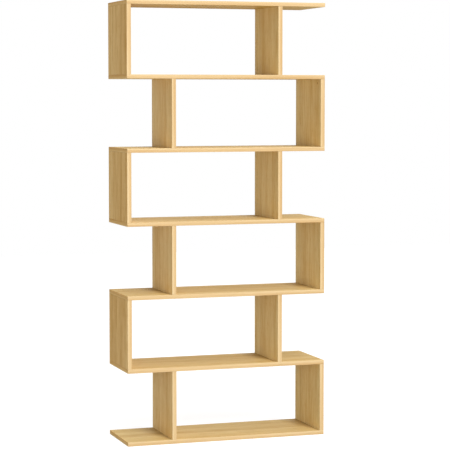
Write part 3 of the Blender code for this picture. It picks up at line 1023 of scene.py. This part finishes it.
class BOOKCASE_OT_cam_nuts(Operator):
    """Make the cam nuts in the uprights, each closed on its bolt"""

    bl_idname = "bookcase.cam_nuts"
    bl_label = "Cam nuts"

    def execute(self, context):
        zinc = [get_material("die-cast zinc", die_cast_zinc)]
        add_fittings("cam_nut", cam_nut_mesh(fitting_places()[0], context.scene.bookcase_fittings, zinc))
        return {"FINISHED"}


class BOOKCASE_OT_cam_bolts(Operator):
    """Make the bolts that are screwed into the shelves and gripped by the cam nuts"""

    bl_idname = "bookcase.cam_bolts"
    bl_label = "Cam bolts"

    def execute(self, context):
        steel = [get_material("plated steel", plated_steel)]
        add_fittings("cam_bolt", cam_bolt_mesh(fitting_places()[0], context.scene.bookcase_fittings, steel))
        return {"FINISHED"}


def white_backdrop(add, lit, white):
    """Shader that camera, gloss and glass rays see as white, and all other rays as it is lit."""
    path = add("LightPath", {})
    straight = add("Math", {0: path.outputs["Is Camera Ray"], 1: path.outputs["Is Glossy Ray"]},
                   operation="MAXIMUM")
    straight = add("Math", {0: straight, 1: path.outputs["Is Transmission Ray"]}, operation="MAXIMUM")
    return add("MixShader", {0: straight, 1: lit, 2: white})


def painted_floor(add, studio):
    """Matt white studio floor, sprayed on board: pale and even, with the bookcase's shadow on it.

    To the camera it glows as well, so that it meets the white room without an edge and only the deepest
    part of the shadow stays grey.
    """
    place = add("TexCoord", {}).outputs["Object"]
    cloud = add("TexNoise", {"Vector": place, "Scale": 1 / 0.6, "Detail": 3})
    paint = add("Mix", {"Factor": cloud, "A": studio.floor_dark, "B": studio.floor_light}, data_type="RGBA")
    matt = add("BsdfDiffuse", {"Color": paint})
    glow = add("Emission", {"Strength": studio.floor_glow})
    seen = add("AddShader", {0: matt, 1: glow})
    return white_backdrop(add, matt, seen)


def white_room(surround):
    """World of a white room: white where it is seen, and soft even light everywhere else."""
    world = bpy.data.worlds.new("white room")
    world.use_nodes = True
    world.node_tree.nodes.clear()
    add = partial(add_node, world.node_tree)
    light = add("Background", {"Color": (1, 1, 1, 1), "Strength": surround})
    white = add("Background", {"Color": (1, 1, 1, 1), "Strength": 1.0})
    add("OutputWorld", {"Surface": white_backdrop(add, light, white)})
    return world


def add_lamp(name, power, size, azimuth, elevation, distance, aim):
    """Rectangular lamp that is aimed at a point and hidden from the camera."""
    turn, rise = math.radians(azimuth), math.radians(elevation)
    away = Vector((math.sin(turn) * math.cos(rise), -math.cos(turn) * math.cos(rise), math.sin(rise)))
    data = bpy.data.lights.new(name, "AREA")
    data.energy = power
    data.shape = "RECTANGLE"
    data.size, data.size_y = size
    lamp = bpy.data.objects.new(name, data)
    lamp.location = aim + away * distance
    lamp.rotation_euler = away.to_track_quat("Z", "Y").to_euler()
    lamp.visible_camera = False
    bpy.context.scene.collection.objects.link(lamp)
    return lamp


class BOOKCASE_OT_studio(Operator):
    """Make the floor, the white room, the lamps and the camera, and set how colours are shown"""

    bl_idname = "bookcase.studio"
    bl_label = "Studio"

    def execute(self, context):
        scene, studio = context.scene, context.scene.bookcase_studio
        side = np.linspace(-FLOOR_REACH, FLOOR_REACH, 2)
        points = np.stack(np.meshgrid(side, side, [0.0], indexing="ij"), axis=-1)[:, :, 0]
        paint = get_material("matt floor paint", painted_floor, studio)
        mesh = surface_mesh("floor", [patch(points, points[..., :2])], [paint])
        floor = bpy.data.objects.new("floor", mesh)
        scene.collection.objects.link(floor)
        scene.world = white_room(studio.surround)
        low, high = (Vector(corner) for corner in cad_box)
        for name, shape in LAMPS.items():
            lamp = add_lamp(f"{name} lamp", getattr(studio, f"{name}_power"), *shape, (low + high) / 2)
            lamp.visible_glossy = name != "back"    # mirrored in the lacquer, it would leave a sheen
        data = bpy.data.cameras.new("camera")
        data.sensor_width = SENSOR_WIDTH
        data.lens = studio.lens
        data.shift_y = studio.camera_shift
        camera = bpy.data.objects.new("camera", data)
        camera.location = studio.camera_place
        camera.rotation_euler = (math.pi / 2 - studio.camera_down, 0, -studio.camera_turn)
        scene.collection.objects.link(camera)
        scene.camera = camera
        scene.view_settings.view_transform = "Standard"
        return {"FINISHED"}


class VIEW3D_PT_bookcase(Panel):
    """Sidebar panel with the bookcase's pieces and their sizes and colours"""

    bl_label = "Bookcase"
    bl_space_type = "VIEW_3D"
    bl_region_type = "UI"
    bl_category = "Bookcase"

    def draw(self, context):
        for operator in OPERATORS:
            self.layout.operator(operator.bl_idname)
        for title, group in SETTINGS.items():
            box = self.layout.box()
            box.label(text=title[len("bookcase_"):].capitalize())
            for name in group.__annotations__:
                box.prop(getattr(context.scene, title), name)


OPERATORS = (
    BOOKCASE_OT_shelves,
    BOOKCASE_OT_uprights,
    BOOKCASE_OT_edge_bands,
    BOOKCASE_OT_dowels,
    BOOKCASE_OT_cam_nuts,
    BOOKCASE_OT_cam_bolts,
    BOOKCASE_OT_studio,
)
SETTINGS = {
    "bookcase_boards": BoardSettings,
    "bookcase_oak": OakSettings,
    "bookcase_fittings": FittingSettings,
    "bookcase_studio": StudioSettings,
}


def register():
    """Registers the settings, the operators and the panel."""
    for group in (*SETTINGS.values(), *OPERATORS, VIEW3D_PT_bookcase):
        bpy.utils.register_class(group)
    for name, group in SETTINGS.items():
        setattr(bpy.types.Scene, name, PointerProperty(type=group))


def unregister():
    """Takes them out again."""
    for name in SETTINGS:
        delattr(bpy.types.Scene, name)
    for group in (VIEW3D_PT_bookcase, *reversed(OPERATORS), *reversed(SETTINGS.values())):
        bpy.utils.unregister_class(group)


def main():
    """Makes every piece and the studio."""
    register()
    bpy.ops.bookcase.shelves()
    bpy.ops.bookcase.uprights()
    bpy.ops.bookcase.edge_bands()
    bpy.ops.bookcase.dowels()
    bpy.ops.bookcase.cam_nuts()
    bpy.ops.bookcase.cam_bolts()
    bpy.ops.bookcase.studio()


if __name__ == "__main__":
    main()
